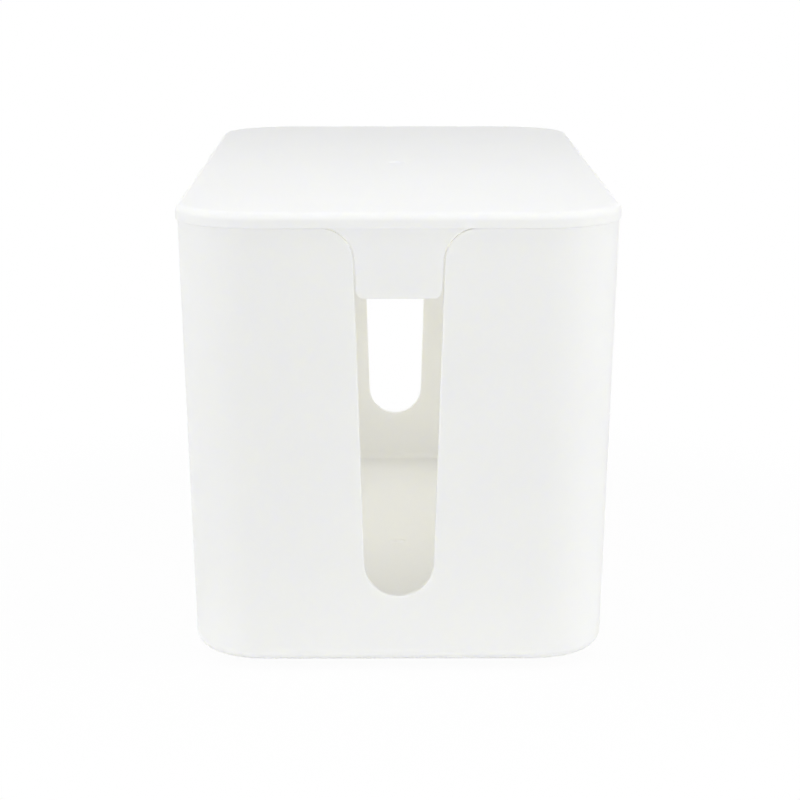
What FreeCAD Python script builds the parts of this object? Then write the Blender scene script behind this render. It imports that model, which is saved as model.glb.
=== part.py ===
import FreeCAD, Part
import math
import os

# Cable management box: a drafted open tub on four rubber feet, under a lift-off lid.
# Millimetres, +Z up, X across the width, Y along the length, the front end at -Y.
# The origin is the middle of the plane that the feet stand on.

# Sizes of the box as a whole
box_width = 115.0
box_length = 235.0
lid_overhang = 0.5
draft_angle = 1.75

# Sizes of the tub
tub_height = 114.0
tub_wall = 2.0
tub_floor = 2.0
rim_corner_radius = 22.5
underside_round = 4.0
floor_round = 2.0
tub_edge_break = 0.3
floor_gate_diameter = 5.6
floor_gate_depth = 0.3

# Sizes of the cable slot in each end of the tub
slot_bottom_height = 18.0
slot_bottom_radius = 8.95
slot_side_angle = 1.8
slot_flare_radius = 8.5

# Sizes of the lid
lid_band_height = 4.0
lid_plate = 2.0
lid_top_round = 2.0
lid_seam_break = 0.3
lid_inner_bevel = 1.0
locating_rim_depth = 3.5
locating_rim_thickness = 1.6
locating_rim_clearance = 0.4
locating_rim_gap_margin = 3.0
lid_gate_diameter = 5.0
lid_gate_depth = 0.3

# Sizes of the tongue that hangs from the lid into each slot
tongue_drop = 17.9
tongue_thickness = 2.0
tongue_clearance = 0.28
tongue_corner_radius = 3.0
tongue_corner_turn = 60.0
tongue_edge_break = 0.3

# Sizes of the rubber feet and of their pockets in the underside
foot_diameter = 12.0
foot_stand = 2.0
foot_edge_break = 0.6
foot_inset = 18.0
foot_pocket_depth = 0.8
foot_pocket_clearance = 0.3

# How far every cutting solid runs past what it cuts, and how near counts as touching
overrun = 5.0
near = 0.01

# Heights from the floor that the feet stand on
underside = foot_stand
rim = underside + tub_height
lid_top = rim + lid_band_height

# Plan of the rim, and the wall's lean inwards for each unit of height below it
rim_width = box_width - 2 * lid_overhang
rim_length = box_length - 2 * lid_overhang
draft = math.tan(math.radians(draft_angle))

# Where the lid's locating rim starts, measured in from the tub's outside and up
locating_rim_inset = tub_wall + locating_rim_clearance
locating_rim_low = rim - locating_rim_depth

# Centres of the slot's round bottom and of the round flares at its mouth
lean = math.radians(slot_side_angle)
slot_centre_z = underside + slot_bottom_height + slot_bottom_radius
flare_centre_z = rim - slot_flare_radius


def beside_slot(distance, z):
    """Half width at height z of a line laid outside the slot's straight side by distance."""
    rise = z - slot_centre_z
    return (slot_bottom_radius + distance + rise * math.sin(lean)) / math.cos(lean)


flare_centre_x = beside_slot(slot_flare_radius, flare_centre_z)


def rounded_rectangle(width, length, radius, z):
    """Wire round a rectangle centred on the Z axis, each corner a true quarter arc."""
    quarter = Part.Circle(FreeCAD.Vector(0, 0, 0), FreeCAD.Vector(0, 0, 1), radius)
    flat_x = width / 2 - radius
    flat_y = length / 2 - radius
    arcs = []
    for turn, (sx, sy) in enumerate(((1, 1), (-1, 1), (-1, -1), (1, -1))):
        circle = quarter.copy()
        circle.Center = FreeCAD.Vector(sx * flat_x, sy * flat_y, z)
        start = turn * math.pi / 2
        arcs.append(Part.ArcOfCircle(circle, start, start + math.pi / 2))
    edges = []
    for arc, following in zip(arcs, arcs[1:] + arcs[:1]):
        edges.append(arc.toShape())
        edges.append(Part.LineSegment(arc.EndPoint, following.StartPoint).toShape())
    return Part.Wire(edges)


def wall_outline(inset, z):
    """Outline of the drafted wall's outside at height z, moved inwards by inset."""
    shrink = inset + (rim - z) * draft
    width = rim_width - 2 * shrink
    length = rim_length - 2 * shrink
    return rounded_rectangle(width, length, rim_corner_radius - shrink, z)


def drafted_block(inset, low, high):
    """Solid bounded by the drafted wall, moved inwards by inset, between two heights."""
    outlines = [wall_outline(inset, low), wall_outline(inset, high)]
    return Part.makeLoft(outlines, True, True)


def straight_block(outline, height):
    """Solid that rises from a flat outline."""
    return Part.Face(outline).extrude(FreeCAD.Vector(0, 0, height))


def sample_points(edge):
    """Five points spread evenly along an edge."""
    span = edge.LastParameter - edge.FirstParameter
    return [edge.valueAt(edge.FirstParameter + span * step / 4) for step in range(5)]


def edges_at(shape, z):
    """Edges of a shape that lie whole at one height."""
    return [e for e in shape.Edges if all(abs(p.z - z) < near for p in sample_points(e))]


def point_on_circle(centre_x, centre_z, radius, degrees):
    """Point on a circle in the plane across the box, measured from +X towards +Z."""
    angle = math.radians(degrees)
    return FreeCAD.Vector(centre_x + radius * math.cos(angle), 0, centre_z + radius * math.sin(angle))


def mirrored(point):
    """The same point on the other side of the box's middle."""
    return FreeCAD.Vector(-point.x, point.y, point.z)


def prism_through(right_side, bottom_middle=None):
    """Solid along the whole box whose section is a half outline and its mirror image.

    right_side lists lines as two points and arcs as three, from the bottom upwards.
    bottom_middle is the lowest point of a round bottom, or None for a straight one.
    """
    left_side = [[mirrored(p) for p in reversed(run)] for run in reversed(right_side)]
    low_right = right_side[0][0]
    bottom = [mirrored(low_right), low_right]
    if bottom_middle:
        bottom.insert(1, bottom_middle)
    top = [right_side[-1][-1], mirrored(right_side[-1][-1])]
    edges = []
    for run in [bottom] + right_side + [top] + left_side:
        curve = Part.Arc(*run) if len(run) == 3 else Part.LineSegment(*run)
        edges.append(curve.toShape())
    face = Part.Face(Part.Wire(edges))
    face.translate(FreeCAD.Vector(0, -box_length / 2 - overrun, 0))
    return face.extrude(FreeCAD.Vector(0, box_length + 2 * overrun, 0))


def slot_cutter():
    """Both end slots in one cut: round bottom, leaning sides and flared mouth."""
    side = slot_side_angle
    side_low = point_on_circle(0, slot_centre_z, slot_bottom_radius, -side)
    flare = [
        point_on_circle(flare_centre_x, flare_centre_z, slot_flare_radius, degrees)
        for degrees in (180 - side, (270 - side) / 2, 90)
    ]
    above = FreeCAD.Vector(flare_centre_x, 0, rim + overrun)
    bottom = point_on_circle(0, slot_centre_z, slot_bottom_radius, -90)
    return prism_through([[side_low, flare[0]], flare, [flare[2], above]], bottom)


def tongue_prism():
    """Section of the tongues: the slot's own outline drawn in by the clearance."""
    side = slot_side_angle
    bottom_z = rim - tongue_drop
    turn = side + tongue_corner_turn
    corner_z = bottom_z + tongue_corner_radius * math.sin(math.radians(turn))
    corner_x = beside_slot(-tongue_clearance - tongue_corner_radius, corner_z)
    corner = [
        point_on_circle(corner_x, corner_z, tongue_corner_radius, -degrees)
        for degrees in (turn, (turn + side) / 2, side)
    ]
    flare_radius = slot_flare_radius + tongue_clearance
    under_lid = 180 - math.degrees(math.asin(slot_flare_radius / flare_radius))
    flare = [
        point_on_circle(flare_centre_x, flare_centre_z, flare_radius, degrees)
        for degrees in (180 - side, (180 - side + under_lid) / 2, under_lid)
    ]
    return prism_through([corner, [corner[2], flare[0]], flare])


def outer_edges(block):
    """Edges on the wall's outside round the rim and round both slots."""
    found = []
    for edge in block.Edges:
        points = sample_points(edge)
        beyond_slot = any(abs(p.x) > flare_centre_x + near for p in points)
        at_rim = all(abs(p.z - rim) < near for p in points)
        runs_lengthwise = points[0].y * points[4].y < 0
        if (at_rim and beyond_slot) or not (beyond_slot or runs_lengthwise):
            found.append(edge)
    return found


def disc(x, y, z, diameter, height):
    """Upright round solid standing on height z."""
    return Part.makeCylinder(diameter / 2, height, FreeCAD.Vector(x, y, z))


def foot_places():
    """Name and centre of each foot, set in from the underside's outline."""
    half_width = rim_width / 2 - tub_height * draft - foot_inset
    half_length = rim_length / 2 - tub_height * draft - foot_inset
    for end, sy in (("front", -1), ("rear", 1)):
        for side, sx in (("left", -1), ("right", 1)):
            yield "foot_" + end + "_" + side, sx * half_width, sy * half_length


def make_tub():
    """Drafted tub with rounded corners, a slot in each end and a pocket for each foot."""
    block = drafted_block(0, underside, rim)
    block = block.makeFillet(underside_round, edges_at(block, underside))
    block = block.cut(slot_cutter())
    block = block.makeChamfer(tub_edge_break, outer_edges(block))
    inner_floor = underside + tub_floor
    cavity = drafted_block(tub_wall, inner_floor, rim + overrun)
    cavity = cavity.makeFillet(floor_round, edges_at(cavity, inner_floor))
    tub = block.cut(cavity)
    gate_z = inner_floor - floor_gate_depth
    tub = tub.cut(disc(0, 0, gate_z, floor_gate_diameter, overrun))
    pocket_diameter = foot_diameter + 2 * foot_pocket_clearance
    for name, x, y in foot_places():
        pocket = disc(x, y, underside - overrun, pocket_diameter, overrun + foot_pocket_depth)
        tub = tub.cut(pocket)
    return tub


def bevelled_tongue(tongue):
    """Tongue with its outer side and bottom edges bevelled."""
    facing = 1 if tongue.CenterOfMass.y > 0 else -1
    edges = []
    for edge in tongue.Edges:
        points = sample_points(edge)
        depths = [rim_length / 2 - (rim - p.z) * draft - facing * p.y for p in points]
        on_outside = all(abs(depth) < near for depth in depths)
        under_lid = all(abs(p.z - rim) < near for p in points)
        if on_outside and not under_lid:
            edges.append(edge)
    return tongue.makeChamfer(tongue_edge_break, edges)


def lid_cover():
    """Top of the lid, solid as yet: a plate whose band overhangs the tub's rim."""
    corner_radius = rim_corner_radius + lid_overhang
    outline = rounded_rectangle(box_width, box_length, corner_radius, rim)
    cover = straight_block(outline, lid_band_height)
    cover = cover.makeFillet(lid_top_round, edges_at(cover, lid_top))
    return cover.makeChamfer(lid_seam_break, edges_at(cover, rim))


def locating_rim():
    """Block that drops inside the tub's wall, interrupted where the slots and tongues are."""
    block = drafted_block(locating_rim_inset, locating_rim_low, rim)
    gap_width = 2 * (flare_centre_x + locating_rim_gap_margin)
    corner = FreeCAD.Vector(-gap_width / 2, -box_length / 2, locating_rim_low - overrun)
    gap = Part.makeBox(gap_width, box_length, locating_rim_depth + overrun, corner)
    return block.cut(gap)


def lid_hollow():
    """Space under the lid, inside the locating rim and up to the plate."""
    inset = locating_rim_inset + locating_rim_thickness
    width = rim_width - 2 * inset
    length = rim_length - 2 * inset
    low = locating_rim_low - overrun
    ceiling = lid_top - lid_plate
    outline = rounded_rectangle(width, length, rim_corner_radius - inset, low)
    hollow = straight_block(outline, ceiling - low)
    return hollow.makeChamfer(lid_inner_bevel, edges_at(hollow, ceiling))


def tongues():
    """Both tongues, flush with the outside of the tub's drafted end walls."""
    both = tongue_prism().common(drafted_block(0, underside, rim))
    both = both.cut(drafted_block(tongue_thickness, underside, rim + overrun))
    return [bevelled_tongue(tongue) for tongue in both.Solids]


def make_lid():
    """Lid in one moulding: cover, locating rim and tongues, hollow underneath."""
    lid = lid_cover().fuse(locating_rim()).cut(lid_hollow())
    for tongue in tongues():
        lid = lid.fuse(tongue)
    lid = lid.removeSplitter()
    return lid.cut(disc(0, 0, lid_top - lid_gate_depth, lid_gate_diameter, overrun))


def make_foot(x, y):
    """Round rubber pad seated in its pocket, its lower edge bevelled."""
    foot = disc(x, y, underside - foot_stand, foot_diameter, foot_stand + foot_pocket_depth)
    return foot.makeChamfer(foot_edge_break, edges_at(foot, underside - foot_stand))


def save(name, shape):
    """Write one piece to its own STEP file."""
    shape.exportStep("parts/" + name + ".step")


os.makedirs("parts", exist_ok=True)
save("tub", make_tub())
save("lid", make_lid())
for foot_name, foot_x, foot_y in foot_places():
    save(foot_name, make_foot(foot_x, foot_y))
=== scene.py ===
import math
from types import SimpleNamespace

import bmesh
import bpy
import numpy as np
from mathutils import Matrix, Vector
from mathutils.geometry import tessellate_polygon


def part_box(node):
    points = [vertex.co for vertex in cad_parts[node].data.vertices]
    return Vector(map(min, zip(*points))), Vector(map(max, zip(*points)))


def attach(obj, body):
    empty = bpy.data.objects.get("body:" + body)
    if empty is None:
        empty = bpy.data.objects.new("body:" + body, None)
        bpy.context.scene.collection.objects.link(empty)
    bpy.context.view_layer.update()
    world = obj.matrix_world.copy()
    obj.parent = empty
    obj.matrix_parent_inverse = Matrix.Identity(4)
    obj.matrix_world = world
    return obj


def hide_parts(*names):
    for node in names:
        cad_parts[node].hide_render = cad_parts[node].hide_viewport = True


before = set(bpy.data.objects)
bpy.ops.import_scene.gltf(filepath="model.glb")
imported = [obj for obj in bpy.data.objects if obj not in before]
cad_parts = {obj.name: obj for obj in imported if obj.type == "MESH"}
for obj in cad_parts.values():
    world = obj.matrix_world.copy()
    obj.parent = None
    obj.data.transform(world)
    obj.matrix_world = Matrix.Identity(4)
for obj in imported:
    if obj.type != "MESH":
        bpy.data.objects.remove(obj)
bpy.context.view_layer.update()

# Tub: the open box that holds the cables. White polypropylene, injection moulded in one shot,
# with walls that lean in towards the floor so that it slips off its core, and in each end a tall
# slot with a round bottom and a flared mouth, where the cables come out.
MM = 0.001
tub_low, tub_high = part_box("tub")
lid_low, lid_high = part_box("lid")
lid_overhang = 0.5 * MM
half_width = lid_high.x - lid_overhang
half_length = lid_high.y - lid_overhang
rim_z = tub_high.z
underside_z = tub_low.z
rim_radius = 22.5 * MM
core_x = half_width - rim_radius
core_y = half_length - rim_radius
draft = math.radians(1.75)

wall = 2.0 * MM
floor_thickness = 2.0 * MM
inner_floor_z = underside_z + floor_thickness
underside_round = 4.0 * MM
floor_round = 2.0 * MM
outer_edge_round = 0.32 * MM
inner_edge_round = 0.25 * MM
plain_step = 0.4 * MM

slot_lean = 1.8
slot_radius = 8.95 * MM
slot_bottom_height = 18.0 * MM
slot_centre_z = underside_z + slot_bottom_height + slot_radius
flare_radius = 8.5 * MM
flare_z = rim_z - flare_radius

floor_gate_radius = 2.8 * MM
gate_depth = 0.3 * MM
gate_pan_share = 0.7
gate_row_shares = (0, 0.1, 0.18, 0.25, 0.33, 0.45, 0.7, 0.76, 0.82, 0.88, 0.94, 1.0, 1.1)
sprue_radius = 0.7 * MM
sprue_height = 0.18 * MM
pocket_radius = 6.3 * MM
pocket_depth = 0.8 * MM
pocket_round = 0.2 * MM

SLOT_BOTTOM_STEPS = 16
SLOT_SIDE_STEPS = 9
FLARE_STEPS = 14
END_RIM_STEPS = 5
CORNER_STEPS = 18
SIDE_STEPS = 10
WALL_STEPS = 6
ROUND_STEPS = 9
SMALL_ROUND_STEPS = 4
POCKET_STEPS = 48
WELD_DISTANCE = 0.002 * MM
SHARPEST_SMOOTH_TURN = math.radians(38)

# Signs of a value in the quarters of the plan: front right, rear right, rear left, front left.
ALONE = (1, 1, 1, 1)
ACROSS = (1, 1, -1, -1)
ALONG = (1, -1, -1, 1)


def beside_slot(distance, z):
    """Half width at height z of a line laid outside the slot's leaning side by distance.

    It is the slot's radius and the distance, plus the rise above the centre of the slot's bottom
    times the sine of the lean, all over the cosine of the lean.
    """
    lean = math.radians(slot_lean)
    rise = z - slot_centre_z
    return (slot_radius + distance + rise * math.sin(lean)) / math.cos(lean)


def on_circle(centre_x, centre_z, radius, degrees):
    """Point of a circle: the centre plus radius times the cosine and sine of a turn from +X to +Z."""
    turn = math.radians(degrees)
    return centre_x + radius * math.cos(turn), centre_z + radius * math.sin(turn)


def arc(centre_x, centre_z, radius, start, end, steps, side):
    """Round stretch of an edge: the centre plus radius times the cosine and sine of an even turn.

    Its rows are x, z and the way out of the plastic, which is from the centre where side is 1.
    """
    turn = np.radians(np.linspace(start, end, steps, endpoint=False))
    spoke = np.stack([np.cos(turn), np.sin(turn)])
    return np.vstack([np.array([[centre_x], [centre_z]]) + radius * spoke, side * spoke])


def straight(start, end, steps, side):
    """Straight stretch of an edge: start plus even shares of the way to end.

    The way out of the plastic is a quarter turn from it, to the left where side is 1.
    """
    way = np.subtract(end, start)
    points = np.array(start)[:, None] + way[:, None] * np.linspace(0, 1, steps, endpoint=False)
    out = side * np.array([-way[1], way[0]]) / np.hypot(*way)
    return np.vstack([points, np.repeat(out[:, None], steps, axis=1)])


def carried_round(quarter, signs):
    """Front right quarter of the columns followed by its mirror images, with a sign for each."""
    there, back = quarter[:-1], quarter[:0:-1]
    return np.concatenate([sign * part for sign, part in zip(signs, (there, back, there, back))])


def columns_round(edge, base_x):
    """Columns of a moulding all the way round it, from the half outline of one end's edge.

    A column starts on the core line, at base_x and base_y, faces away from it, and runs to the
    edge at edge_x and edge_z, with out_x and out_z the way out of the plastic there. The edge
    stays at the rim round the corners, where the facing turns evenly, and along the sides.
    """
    end_steps = edge.shape[1]
    others = CORNER_STEPS + SIDE_STEPS + 1
    ahead = np.full(end_steps, -90.0)
    turning = np.linspace(-90, 0, CORNER_STEPS, endpoint=False)
    facing = np.radians(np.concatenate([ahead, turning, np.zeros(SIDE_STEPS + 1)]))
    side_y = np.linspace(-core_y, 0, SIDE_STEPS + 1)
    at_rim = np.repeat([[core_x], [rim_z], [0], [edge[3, -1]]], others, axis=1)
    edge = np.hstack([edge, at_rim])
    base_x = np.append(base_x, np.full(others, core_x))
    base_y = np.append(np.full(end_steps + CORNER_STEPS, -core_y), side_y)
    return SimpleNamespace(
        base_x=carried_round(base_x, ACROSS),
        base_y=carried_round(base_y, ALONG),
        face_x=carried_round(np.cos(facing), ACROSS),
        face_y=carried_round(np.sin(facing), ALONG),
        edge_x=carried_round(edge[0], ACROSS),
        edge_z=carried_round(edge[1], ALONE),
        out_x=carried_round(edge[2], ACROSS),
        out_z=carried_round(edge[3], ALONE),
    )


def ring(columns, x, z, reach):
    """Row of points: from the core line, reach along each column's facing, at height z."""
    z = z + 0 * columns.base_y
    return np.stack([x + reach * columns.face_x, columns.base_y + reach * columns.face_y, z], axis=1)


def drafted(inset, z):
    """Reach of the drafted wall: the rim's radius, less the inset, less the fall times its tangent."""
    return rim_radius - inset - (rim_z - z) * math.tan(draft)


def wall_row(columns, inset, z):
    """Row of the drafted wall at height z, inset from its outside."""
    return ring(columns, columns.base_x, z, drafted(inset, z))


def edge_row(columns, inset, back):
    """Row of the drafted wall, inset from its outside: the edge less back times its way out."""
    x = columns.edge_x - back * columns.out_x
    z = columns.edge_z - back * columns.out_z
    return ring(columns, x, z, drafted(inset, z))


def foot_of_wall(columns, inset, low_z, radius):
    """Rows of the round where a drafted wall meets a flat, from the wall down to low_z.

    The circle touches both, so its centre lies radius above the flat and radius over the
    cosine of the draft in from the wall.
    """
    centre_z = low_z + radius
    centre_reach = drafted(inset, centre_z) - radius / math.cos(draft)
    turns = np.linspace(-draft, -math.pi / 2, ROUND_STEPS)
    return [
        ring(columns, columns.base_x, centre_z + radius * math.sin(turn),
             centre_reach + radius * math.cos(turn))
        for turn in turns
    ]


def edge_section(thickness, outer, inner):
    """Section across an edge as pairs of inset from the outside and distance back from the edge.

    It is a quarter circle of each radius with the flat between, and a step of wall at each end.
    """
    turns = np.linspace(math.pi, math.pi / 2, SMALL_ROUND_STEPS + 1)
    outer_round = [(outer + outer * math.cos(t), outer - outer * math.sin(t)) for t in turns]
    middle = thickness - inner
    inner_round = [(middle - inner * math.cos(t), inner - inner * math.sin(t)) for t in turns[::-1]]
    first, last = (0, outer + plain_step), (thickness, inner + plain_step)
    return [first, *outer_round, *inner_round, last]


def between(start, end, shares):
    """Rows at those shares of the straight way from one row to another."""
    return [start + share * (end - start) for share in shares]


def circle_row(columns, radius, z):
    """Row on a circle round the Z axis: radius times each column's own way from the middle.

    That way is the column's point of the rim, as shares of the box's half width and half length,
    divided by its own length.
    """
    reach_x = columns.base_x / half_width + rim_radius / half_width * columns.face_x
    reach_y = columns.base_y / half_length + rim_radius / half_length * columns.face_y
    size = np.hypot(reach_x, reach_y)
    return np.stack([radius * reach_x / size, radius * reach_y / size, z + 0 * size], axis=1)


def gate_rows(columns, radius, z):
    """Dimple of a moulding gate, from its middle out: a flat pan with a soft lip round it.

    Its height is the depth times a smooth step of the distance, plus the cut sprue, which is a
    bump of one over one plus the fourth power of distance.
    """
    rows = []
    for share in gate_row_shares:
        rise = min(max((share - gate_pan_share) / (1 - gate_pan_share), 0), 1)
        pan = -gate_depth * (1 - rise * rise * (3 - 2 * rise))
        bump = sprue_height / (1 + (share * radius / sprue_radius) ** 4)
        sprue = bump if share < gate_pan_share else 0
        rows.append(circle_row(columns, share * radius, z + pan + sprue))
    return rows


def grid_faces(rows, columns, first):
    """Squares between neighbouring rows of a grid whose columns close on themselves."""
    here = first + np.arange(rows - 1)[:, None] * columns + np.arange(columns)
    beside = np.roll(here, -1, axis=1)
    return np.stack([here, beside, beside + columns, here + columns], axis=-1).reshape(-1, 4)


def fill_round(outline, holes):
    """Triangles of a flat between its outline and its holes, and the points that they use."""
    loops = [[Vector(point) for point in loop] for loop in (outline, *holes)]
    return np.vstack([outline, *holes]), np.array(tessellate_polygon(loops))


def moulding(name, grids, flats=()):
    """One closed skin from grids of rows and from flats, merged where they meet."""
    points, faces, first = [], [], 0
    for grid in grids:
        grid = np.array(grid)
        points.append(grid.reshape(-1, 3))
        faces.extend(grid_faces(grid.shape[0], grid.shape[1], first).tolist())
        first += len(points[-1])
    for flat_points, triangles in flats:
        points.append(flat_points)
        faces.extend((triangles + first).tolist())
        first += len(flat_points)
    mesh = bpy.data.meshes.new(name)
    mesh.from_pydata(np.vstack(points).tolist(), [], faces)
    skin = bmesh.new()
    skin.from_mesh(mesh)
    bmesh.ops.remove_doubles(skin, verts=skin.verts, dist=WELD_DISTANCE)
    bmesh.ops.recalc_face_normals(skin, faces=skin.faces)
    skin.to_mesh(mesh)
    skin.free()
    mesh.shade_smooth()
    mesh.set_sharp_from_angle(angle=SHARPEST_SMOOTH_TURN)
    piece = bpy.data.objects.new(name, mesh)
    bpy.context.scene.collection.objects.link(piece)
    return piece


def turned(x, y, profile, steps):
    """Rows of a shape turned round the upright axis at x and y, from pairs of radius and height.

    Each row is x and y plus the radius times the cosine and sine of an even turn.
    """
    turn = np.linspace(0, 2 * math.pi, steps, endpoint=False)
    return [np.stack([x + r * np.cos(turn), y + r * np.sin(turn), z + 0 * turn], axis=1)
            for r, z in profile]


def pocket_rows(x, y):
    """Pocket for a foot, from the flat round it to its ceiling's middle, all circles.

    The mouth is a quarter circle from the underside up into the straight wall.
    """
    turns = np.linspace(math.pi / 2, 0, SMALL_ROUND_STEPS + 1)
    mouth = pocket_radius + pocket_round
    top_z = underside_z + pocket_depth
    lip = [(mouth - pocket_round * math.cos(t), underside_z + pocket_round * (1 - math.sin(t)))
           for t in turns]
    ceiling = [(pocket_radius, top_z), (pocket_radius - plain_step, top_z), (0, top_z)]
    return turned(x, y, [(mouth + plain_step, underside_z), *lip, *ceiling], POCKET_STEPS)


def foot_middle(name):
    """Middle of a foot in plan."""
    low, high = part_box(name)
    return (low.x + high.x) / 2, (low.y + high.y) / 2


foot_names = [name for name in sorted(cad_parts) if name.startswith("foot_")]
flare_x = beside_slot(flare_radius, flare_z)
slot_edge = np.hstack([
    arc(0, slot_centre_z, slot_radius, -90, -slot_lean, SLOT_BOTTOM_STEPS, -1),
    straight(on_circle(0, slot_centre_z, slot_radius, -slot_lean),
             on_circle(flare_x, flare_z, flare_radius, 180 - slot_lean), SLOT_SIDE_STEPS, 1),
    arc(flare_x, flare_z, flare_radius, 180 - slot_lean, 90, FLARE_STEPS, 1),
    straight((flare_x, rim_z), (core_x, rim_z), END_RIM_STEPS, 1),
])
tub_columns = columns_round(slot_edge, np.linspace(0, core_x, slot_edge.shape[1], endpoint=False))

wall_shares = np.linspace(0, 1, WALL_STEPS + 1)
underside_row_shares = (0.01,)
floor_row_shares = (0.01, 0.25, 0.6, 0.9)
underside_rows = foot_of_wall(tub_columns, 0, underside_z, underside_round)
floor_rows = foot_of_wall(tub_columns, wall, inner_floor_z, floor_round)
edge_rows = [edge_row(tub_columns, inset, back)
             for inset, back in edge_section(wall, outer_edge_round, inner_edge_round)]
outer_start = wall_row(tub_columns, 0, underside_z + underside_round + plain_step)
inner_start = wall_row(tub_columns, wall, inner_floor_z + floor_round + plain_step)
floor_gate = gate_rows(tub_columns, floor_gate_radius, inner_floor_z)
tub_rows = [
    *between(underside_rows[-1], circle_row(tub_columns, 0, underside_z), underside_row_shares),
    *reversed(underside_rows),
    *between(outer_start, edge_rows[0], wall_shares[:-1]),
    *edge_rows,
    *between(edge_rows[-1], inner_start, wall_shares[1:]),
    *floor_rows,
    *between(floor_rows[-1], floor_gate[-1], floor_row_shares),
    *reversed(floor_gate),
]
pockets = [pocket_rows(*foot_middle(name)) for name in foot_names]
tub = moulding("tub_shell", [tub_rows, *pockets],
               [fill_round(tub_rows[0], [pocket[0] for pocket in pockets])])


class Flow:
    """A number or colour on its way through a material; sums and products add their nodes."""

    def __init__(self, finish, socket):
        self.finish = finish
        self.socket = socket

    def _maths(self, operation, first, second):
        return self.finish.node("ShaderNodeMath", {"operation": operation}, {0: first, 1: second})

    def __add__(self, other):
        return self._maths("ADD", self, other)

    def __sub__(self, other):
        return self._maths("SUBTRACT", self, other)

    def __rsub__(self, other):
        return self._maths("SUBTRACT", other, self)

    def __mul__(self, other):
        return self._maths("MULTIPLY", self, other)

    def __pow__(self, other):
        return self._maths("POWER", self, other)

    def __rpow__(self, other):
        return self._maths("POWER", other, self)

    __radd__ = __add__
    __rmul__ = __mul__


class Finish:
    """Nodes of a material or of the world, with one method for every kind of node."""

    def __init__(self, owner):
        owner.use_nodes = True
        self.owner = owner
        self.tree = owner.node_tree
        self.tree.nodes.clear()

    def node(self, kind, settings=None, sockets=None, result=0):
        """Add a node: its settings first, then its sockets' values or links."""
        added = self.tree.nodes.new(kind)
        for name, value in (settings or {}).items():
            if name == "stops":
                self._set_stops(added.color_ramp, value)
            else:
                setattr(added, name, value)
        for name, value in (sockets or {}).items():
            if isinstance(value, Flow):
                self.tree.links.new(value.socket, added.inputs[name])
            else:
                added.inputs[name].default_value = value
        return Flow(self, added.outputs[result]) if added.outputs else None

    def _set_stops(self, ramp, stops):
        for place, _ in stops[2:]:
            ramp.elements.new(place)
        for element, (place, colour) in zip(ramp.elements, stops):
            element.position = place
            element.color = (*colour, 1)

    def noise(self, size, detail):
        """Soft noise from 0 to 1 whose grains are about size across, in metres."""
        place = self.node("ShaderNodeTexCoord", result="Object")
        return self.node("ShaderNodeTexNoise", {"noise_dimensions": "3D"},
                         {"Vector": place, "Scale": 1 / size, "Detail": detail})

    def from_axis(self):
        """Distance in metres of the point from the upright axis through the middle."""
        at = self.node("ShaderNodeTexCoord", result="Object")
        x, y = [self.node("ShaderNodeSeparateXYZ", sockets={"Vector": at}, result=axis)
                for axis in "XY"]
        return (x * x + y * y) ** 0.5

    def eased(self, value, start, end, at_start, at_end):
        """Value eased by a smooth step from at_start, up to start, to at_end, past end."""
        return self.node("ShaderNodeMapRange", {"interpolation_type": "SMOOTHSTEP"},
                         {"Value": value, "From Min": start, "From Max": end,
                          "To Min": at_start, "To Max": at_end})

    def mix(self, share, first, second):
        """Colour that is share of the way from first to second, by the node's colour sockets."""
        return self.node("ShaderNodeMix", {"data_type": "RGBA"},
                         {"Factor": share, 6: first, 7: second}, result=2)

    def bump(self, height, relief):
        """Way that the surface faces once the height, from 0 to 1, stands out by relief."""
        return self.node("ShaderNodeBump",
                         sockets={"Height": height, "Strength": 1.0, "Distance": relief})

    def skin(self, **sockets):
        """End the material in one Principled shader."""
        sockets = {name.replace("_", " "): value for name, value in sockets.items()}
        surface = self.node("ShaderNodeBsdfPrincipled", sockets=sockets)
        self.node("ShaderNodeOutputMaterial", sockets={"Surface": surface})
        return self.owner


def polypropylene(name, pale, deep, matt):
    """Natural white polypropylene: faint cloudy shade, spark-eroded grain, light let through.

    The shade drifts between two whites with the flow of the melt. It blushes a little paler round
    the gate in the middle, and is white in the gate's strained pan. The grain is two noises of a
    third and of one millimetre.
    """
    finish = Finish(bpy.data.materials.new(name))
    cloud = finish.noise(size=38 * MM, detail=2.0)
    from_gate = finish.from_axis()
    blush = finish.eased(from_gate, start=3 * MM, end=26 * MM, at_start=0.5, at_end=0.0)
    clouded = finish.mix(cloud * (1 - blush) + blush, (*deep, 1), (*pale, 1))
    strained = finish.eased(from_gate, start=1.7 * MM, end=2.6 * MM, at_start=1.0, at_end=0.0)
    strained_white = (0.95, 0.95, 0.945, 1)
    grain = finish.noise(size=0.34 * MM, detail=2.0)
    dapple = finish.noise(size=1.1 * MM, detail=1.0)
    handling = finish.noise(size=21 * MM, detail=3.0)
    return finish.skin(
        Base_Color=finish.mix(strained, clouded, strained_white),
        Roughness=(handling - 0.5) * 0.12 + (grain - 0.5) * 0.1 + matt,
        Normal=finish.bump(grain * 0.7 + dapple * 0.5, relief=0.006 * MM),
        IOR=1.49,
        Subsurface_Weight=1.0,
        Subsurface_Radius=(1.0, 1.0, 0.86),
        Subsurface_Scale=0.6 * MM,
    )


tub_white = polypropylene("tub_polypropylene", pale=(0.915, 0.912, 0.897),
                          deep=(0.90, 0.897, 0.880), matt=0.42)
tub.data.materials.append(tub_white)
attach(tub, "base")
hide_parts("tub")

# Feet: four round pads of grey rubber, pressed into the pockets of the underside with glue. They
# are turned discs with a rounded lower edge, and they stop the box from sliding.
FOOT_STEPS = 64
foot_round = 0.6 * MM
sole_row_shares = (0, 0.5, 0.95)


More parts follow.
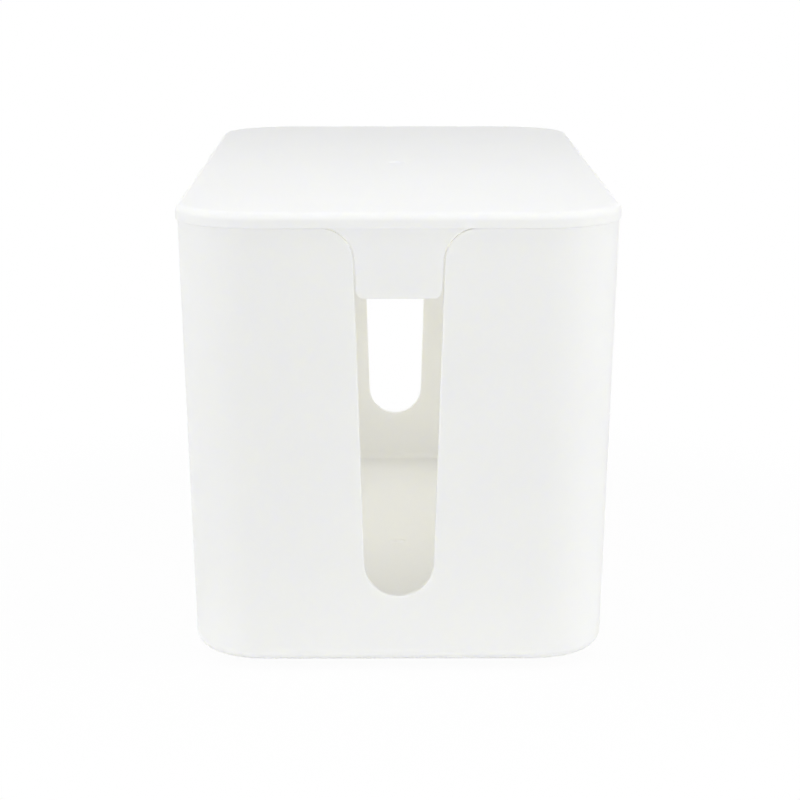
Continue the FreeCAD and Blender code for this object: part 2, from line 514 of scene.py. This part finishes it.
def foot_pad(name):
    """Pad turned round its own upright axis: a profile of radius and height carried round it.

    The profile runs from the middle of the sole round a quarter circle at its lower edge, up the
    side and in to the middle of the top.
    """
    low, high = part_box(name)
    x, y = foot_middle(name)
    radius = (high.x - low.x) / 2
    centre = radius - foot_round
    turns = np.linspace(-math.pi / 2, 0, ROUND_STEPS)
    sole = [(share * centre, low.z) for share in sole_row_shares]
    edge = [(centre + foot_round * math.cos(t), low.z + foot_round * (1 + math.sin(t)))
            for t in turns]
    side = [(radius, low.z + 2 * foot_round), (radius, high.z - plain_step), (radius, high.z)]
    top = [(radius - plain_step, high.z), (0, high.z)]
    return moulding(name + "_pad", [turned(x, y, sole + edge + side + top, FOOT_STEPS)])


def rubber(name):
    """Grey rubber: fine pores in its height and roughness, and paler where dust clings."""
    finish = Finish(bpy.data.materials.new(name))
    pores = finish.noise(size=0.25 * MM, detail=3.0)
    dust = finish.noise(size=2.4 * MM, detail=3.0)
    settled = finish.node("ShaderNodeValToRGB", {"stops": [(0.42, (0, 0, 0)), (0.7, (1, 1, 1))]},
                          {"Fac": dust})
    bare_grey = (0.30, 0.30, 0.29, 1)
    dusty_grey = (0.37, 0.37, 0.355, 1)
    return finish.skin(
        Base_Color=finish.mix(settled, bare_grey, dusty_grey),
        Roughness=pores * 0.14 + 0.7,
        Normal=finish.bump(pores, relief=0.02 * MM),
        IOR=1.5,
    )


foot_rubber = rubber("foot_rubber")
for name in foot_names:
    pad = foot_pad(name)
    pad.data.materials.append(foot_rubber)
    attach(pad, "base")
    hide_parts(name)

# Lid: the cover that lifts straight off. White polypropylene in one moulding: a plate with a
# rounded top edge, a shallow band over the tub's rim, a locating rim that drops inside the wall,
# and at each end a tongue that closes the mouth of the slot.
lid_top_z = lid_high.z
lid_top_round = 2.0 * MM
seam_round = 0.2 * MM
lid_thickness = 2.0 * MM
ceiling_z = lid_top_z - lid_thickness
ceiling_round = 1.0 * MM
lid_gate_radius = 2.5 * MM

tongue_low_z = lid_low.z
tongue_thickness = 2.0 * MM
tongue_clearance = 0.28 * MM
tongue_corner = 3.0 * MM
tongue_corner_turn = 60.0
tongue_round = 0.2 * MM

locating_inset = wall + 0.4 * MM
locating_thickness = 1.6 * MM
locating_depth = 3.5 * MM
locating_round = 0.3 * MM
locating_gap = flare_x + 3.0 * MM
locating_first_step = 2.0 * MM
locating_end_shares = np.array([0.0, 0.08, 0.3, 0.62, 1.0])

TONGUE_END_STEPS = 5
TONGUE_CORNER_STEPS = 8
TONGUE_SIDE_STEPS = 7
TONGUE_FLARE_STEPS = 12
BESIDE_TONGUE_STEPS = 4
END_SEAT_STEPS = 5
LEAST_SLOPE = 1e-6


def mitred(edge):
    """The same edge with its out direction at each corner halved between its two stretches.

    At a corner the way out is the sum of the two ways divided by one plus their dot product, so
    that stepping back by it keeps the same distance from both stretches.
    """
    before = np.roll(edge[2:], 1, axis=1)
    before[:, 0] = edge[2:, 0]
    together = 1 + (before * edge[2:]).sum(axis=0)
    return np.vstack([edge[:2], (before + edge[2:]) / together])


def tongue_row(columns, inset, back):
    """Row of the tongue, back from its outline by back but never up past the lid's seat.

    The room up to the seat is the height left there over the upward share of the step back.
    """
    room = (rim_z - columns.edge_z) / np.maximum(-columns.out_z, LEAST_SLOPE)
    return edge_row(columns, inset, np.minimum(back, room))


corner_turn = slot_lean + tongue_corner_turn
corner_z = tongue_low_z + tongue_corner * math.sin(math.radians(corner_turn))
corner_x = beside_slot(-tongue_clearance - tongue_corner, corner_z)
tongue_flare = flare_radius + tongue_clearance
under_lid = 180 - math.degrees(math.asin(flare_radius / tongue_flare))
tongue_tip = on_circle(flare_x, flare_z, tongue_flare, under_lid)
tongue_outline = np.hstack([
    straight((0, tongue_low_z), on_circle(corner_x, corner_z, tongue_corner, -corner_turn),
             TONGUE_END_STEPS, -1),
    arc(corner_x, corner_z, tongue_corner, -corner_turn, -slot_lean, TONGUE_CORNER_STEPS, 1),
    straight(on_circle(corner_x, corner_z, tongue_corner, -slot_lean),
             on_circle(flare_x, flare_z, tongue_flare, 180 - slot_lean), TONGUE_SIDE_STEPS, -1),
    arc(flare_x, flare_z, tongue_flare, 180 - slot_lean, under_lid, TONGUE_FLARE_STEPS, -1),
])
seat_x = np.concatenate([
    np.linspace(tongue_tip[0], locating_gap, BESIDE_TONGUE_STEPS),
    locating_gap + locating_round * locating_end_shares,
    np.linspace(locating_gap + locating_first_step, core_x, END_SEAT_STEPS, endpoint=False),
])
seat_edge = np.stack([seat_x, np.full_like(seat_x, rim_z), 0 * seat_x, 0 * seat_x - 1])
lid_edge = np.hstack([mitred(tongue_outline), seat_edge])
tongue_steps = tongue_outline.shape[1]
lid_base_x = np.append(np.linspace(0, tongue_tip[0], tongue_steps, endpoint=False), seat_x)
lid_columns = columns_round(lid_edge, lid_base_x)

past_gap = np.clip((seat_x - locating_gap) / locating_round, 0, 1)
rounded_end = 1 - locating_round / locating_depth * (1 - np.sqrt(1 - (1 - past_gap) ** 2))
rounded_end[:BESIDE_TONGUE_STEPS] = 0
drop_shares = np.concatenate([
    np.zeros(tongue_steps),
    rounded_end,
    np.ones(CORNER_STEPS + SIDE_STEPS + 1),
])
lid_columns.drop_shares = carried_round(drop_shares, ALONE)

band_reach = rim_radius + lid_overhang
outer_reach = rim_radius - locating_inset - locating_depth * math.tan(draft)
hollow_reach = rim_radius - locating_inset - locating_thickness
straight_drop = locating_depth - locating_round - plain_step
falling_turns = np.linspace(math.pi / 2, 0, ROUND_STEPS)
small_turns = np.linspace(0, math.pi / 2, SMALL_ROUND_STEPS + 1)
top_row_shares = (0.1, 0.4, 0.75, 0.99)
seat_row_shares = (0, 0.25, 0.5, 0.75)
inner_seat_row_shares = (0.25, 0.5, 0.75, 1)
ceiling_row_shares = (0.01, 0.3, 0.7, 1)


def lid_ring(reach, z):
    """Row of the lid's upright surfaces."""
    return ring(lid_columns, lid_columns.base_x, z, reach)


def locating_row(reach, drop):
    """Row of the locating rim: it drops below the seat by drop, or not at all at the tongues."""
    return lid_ring(reach, rim_z - drop * lid_columns.drop_shares)


top_rows = [
    lid_ring(band_reach - lid_top_round * (1 - math.cos(t)),
             lid_top_z - lid_top_round * (1 - math.sin(t)))
    for t in falling_turns
]
seam_rows = [
    lid_ring(band_reach - seam_round * (1 - math.cos(t)), rim_z + seam_round * (1 - math.sin(t)))
    for t in small_turns
]
tongue_rows = [
    tongue_row(lid_columns, inset, back)
    for inset, back in edge_section(tongue_thickness, tongue_round, tongue_round)
]
locating_outer_rows = [
    locating_row(outer_reach - locating_round * (1 - math.cos(t)),
                 locating_depth - locating_round * (1 - math.sin(t)))
    for t in small_turns
]
locating_inner_rows = [
    locating_row(hollow_reach + locating_round * (1 - math.sin(t)),
                 locating_depth - locating_round * (1 - math.cos(t)))
    for t in small_turns
]
ceiling_rows = [
    lid_ring(hollow_reach - ceiling_round * (1 - math.cos(t)),
             ceiling_z - ceiling_round * (1 - math.sin(t)))
    for t in reversed(falling_turns)
]
seat_row = lid_ring(rim_radius, rim_z)
inner_seat_row = lid_ring(rim_radius - tongue_thickness, rim_z)
lid_gate = gate_rows(lid_columns, lid_gate_radius, lid_top_z)
lid_rows = [
    *lid_gate,
    *between(lid_gate[-1], top_rows[0], top_row_shares),
    *top_rows,
    lid_ring(band_reach, lid_top_z - lid_top_round - plain_step),
    lid_ring(band_reach, rim_z + seam_round + plain_step),
    *seam_rows,
    *between(seat_row, tongue_rows[0], seat_row_shares),
    *tongue_rows,
    *between(tongue_rows[-1], inner_seat_row, inner_seat_row_shares),
    lid_ring(rim_radius - locating_inset, rim_z),
    locating_row(outer_reach + plain_step * math.tan(draft), straight_drop),
    *locating_outer_rows,
    *locating_inner_rows,
    locating_row(hollow_reach, straight_drop),
    lid_ring(hollow_reach, rim_z),
    lid_ring(hollow_reach, ceiling_z - ceiling_round - plain_step / 2),
    *ceiling_rows,
    *between(ceiling_rows[-1], circle_row(lid_columns, 0, ceiling_z), ceiling_row_shares),
]
lid = moulding("lid_moulding", [lid_rows])
lid_white = polypropylene("lid_polypropylene", pale=(0.918, 0.915, 0.905),
                          deep=(0.903, 0.900, 0.889), matt=0.40)
lid.data.materials.append(lid_white)
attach(lid, "lid")
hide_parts("lid")

# Camera: close in front of one end and a little above it, so that the front shows nearly square
# and the lid's top as a shallow band. It looks down by what its tilt lacks of a right angle.
focal_length = 107.52
sensor_width = 36.0
eye = (-0.0035, -0.70782, 0.19553)
tilt_from_straight_down = 78.226
turn_to_left = -0.362
lens = bpy.data.cameras.new("camera")
lens.lens = focal_length
lens.sensor_width = sensor_width
camera = bpy.data.objects.new("camera", lens)
camera.location = eye
camera.rotation_euler = (math.radians(tilt_from_straight_down), 0, math.radians(turn_to_left))
bpy.context.scene.collection.objects.link(camera)
bpy.context.scene.camera = camera

# Floor: a plain white sweep. Looked at straight, it shows as clean white away from the box, and
# keeps the box's soft shadow near it. It lights the box as a white surface does.
floor_half = 40.0
white_paint = (0.9, 0.9, 0.9, 1)
pure_white = (1, 1, 1, 1)
shadow_reach = 0.1
clean_reach = 0.22
floor_mesh = bpy.data.meshes.new("floor")
corners = [(-1, -1, 0), (1, -1, 0), (1, 1, 0), (-1, 1, 0)]
floor_mesh.from_pydata((np.array(corners) * floor_half).tolist(), [], [(0, 1, 2, 3)])
floor = bpy.data.objects.new("floor", floor_mesh)
bpy.context.scene.collection.objects.link(floor)


def looked_at(finish):
    """1 where a ray comes straight from the camera, a reflection or glass, and 0 elsewhere."""
    rays = [finish.node("ShaderNodeLightPath", result=name)
            for name in ("Is Camera Ray", "Is Glossy Ray", "Is Transmission Ray")]
    any_ray = rays[0] + rays[1] + rays[2]
    return finish.node("ShaderNodeMath", {"operation": "MINIMUM"}, {0: any_ray, 1: 1.0})


sweep = Finish(bpy.data.materials.new("sweep"))
matt = sweep.node("ShaderNodeBsdfDiffuse", sockets={"Color": white_paint})
glow = sweep.node("ShaderNodeEmission", sockets={"Color": pure_white, "Strength": 1.0})
clean = sweep.eased(sweep.from_axis(), start=shadow_reach, end=clean_reach, at_start=0.95,
                    at_end=1.0)
shown = sweep.node("ShaderNodeMixShader", sockets={"Fac": clean, 1: matt, 2: glow})
mixed = sweep.node("ShaderNodeMixShader", sockets={"Fac": looked_at(sweep), 1: matt, 2: shown})
sweep.node("ShaderNodeOutputMaterial", sockets={"Surface": mixed})
floor_mesh.materials.append(sweep.owner)

# Light: a white tent with soft boxes round it, one over the lid that rises with it, and a table
# top that glows. The plastic is thin and lets light through, so faint lamps stand just inside the
# side walls, and smaller ones ride on the lid behind the gaps beside its tongues.
daylight = (0.99, 1.0, 1.005)
through_plastic = (1.0, 0.995, 0.935)
tent_strength = 0.21
box_middle = (0, 0, 0.06)
front_edge_y = -0.16
table_glow_z = 0.5 * MM
gap_x, gap_y, gap_z = 17 * MM, 113 * MM, 108 * MM
inside_x, inside_y, inside_z = 50 * MM, 22 * MM, 45 * MM


def soft_box(name, place, size, watts, aim=box_middle, colour=daylight):
    """Rectangular lamp at place, of that width and height, that looks towards aim."""
    lamp = bpy.data.lights.new(name, "AREA")
    lamp.shape = "RECTANGLE"
    lamp.size, lamp.size_y = size
    lamp.energy = watts
    lamp.color = colour
    box = bpy.data.objects.new(name, lamp)
    box.location = place
    box.rotation_mode = "QUATERNION"
    box.rotation_quaternion = (Vector(aim) - Vector(place)).to_track_quat("-Z", "Y")
    box.visible_camera = False
    box.visible_glossy = False
    bpy.context.scene.collection.objects.link(box)
    return box


soft_box("left_box", place=(-1.3, 0, 0.45), size=(1.4, 0.9), watts=8.6)
soft_box("right_box", place=(1.3, 0, 0.45), size=(1.4, 0.9), watts=7.2)
soft_box("front_box", place=(0, -1.8, 0.5), size=(1.2, 0.8), watts=10.4)
soft_box("near_box", place=(0.3, -0.55, 0.12), size=(0.2, 0.3), watts=0.25)
soft_box("back_box", place=(0, 1.0, 1.2), size=(1.2, 0.8), watts=4.4)
soft_box("behind_box", place=(0, 1.8, 0.3), size=(1.2, 0.5), watts=5.0)
over_lid = soft_box("overhead_box", place=(0, front_edge_y, 0.5), size=(0.5, 0.12), watts=0.81,
                    aim=(0, front_edge_y, 0))
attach(over_lid, "lid")
soft_box("table_glow", place=(0, 0, table_glow_z), size=(0.16, 0.28), watts=0.012, aim=(0, 0, 1))
for end in (-1, 1):
    for side in (-1, 1):
        gap_glow = soft_box("gap_glow", place=(side * gap_x, end * gap_y, gap_z),
                            size=(12 * MM, 13 * MM), watts=0.0027,
                            aim=(side * gap_x, end, gap_z), colour=through_plastic)
        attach(gap_glow, "lid")
for side in (-1, 1):
    soft_box("inside_glow", place=(side * inside_x, inside_y, inside_z),
             size=(170 * MM, 80 * MM), watts=0.0275,
             aim=(0, inside_y, inside_z), colour=through_plastic)

bpy.context.scene.world = bpy.data.worlds.new("tent")
tent = Finish(bpy.context.scene.world)
plain = tent.node("ShaderNodeBackground",
                  sockets={"Color": (*daylight, 1), "Strength": tent_strength})
white = tent.node("ShaderNodeBackground", sockets={"Color": pure_white, "Strength": 1.0})
seen = tent.node("ShaderNodeMixShader", sockets={"Fac": looked_at(tent), 1: plain, 2: white})
tent.node("ShaderNodeOutputWorld", sockets={"Surface": seen})

bpy.context.scene.view_settings.view_transform = "Standard"
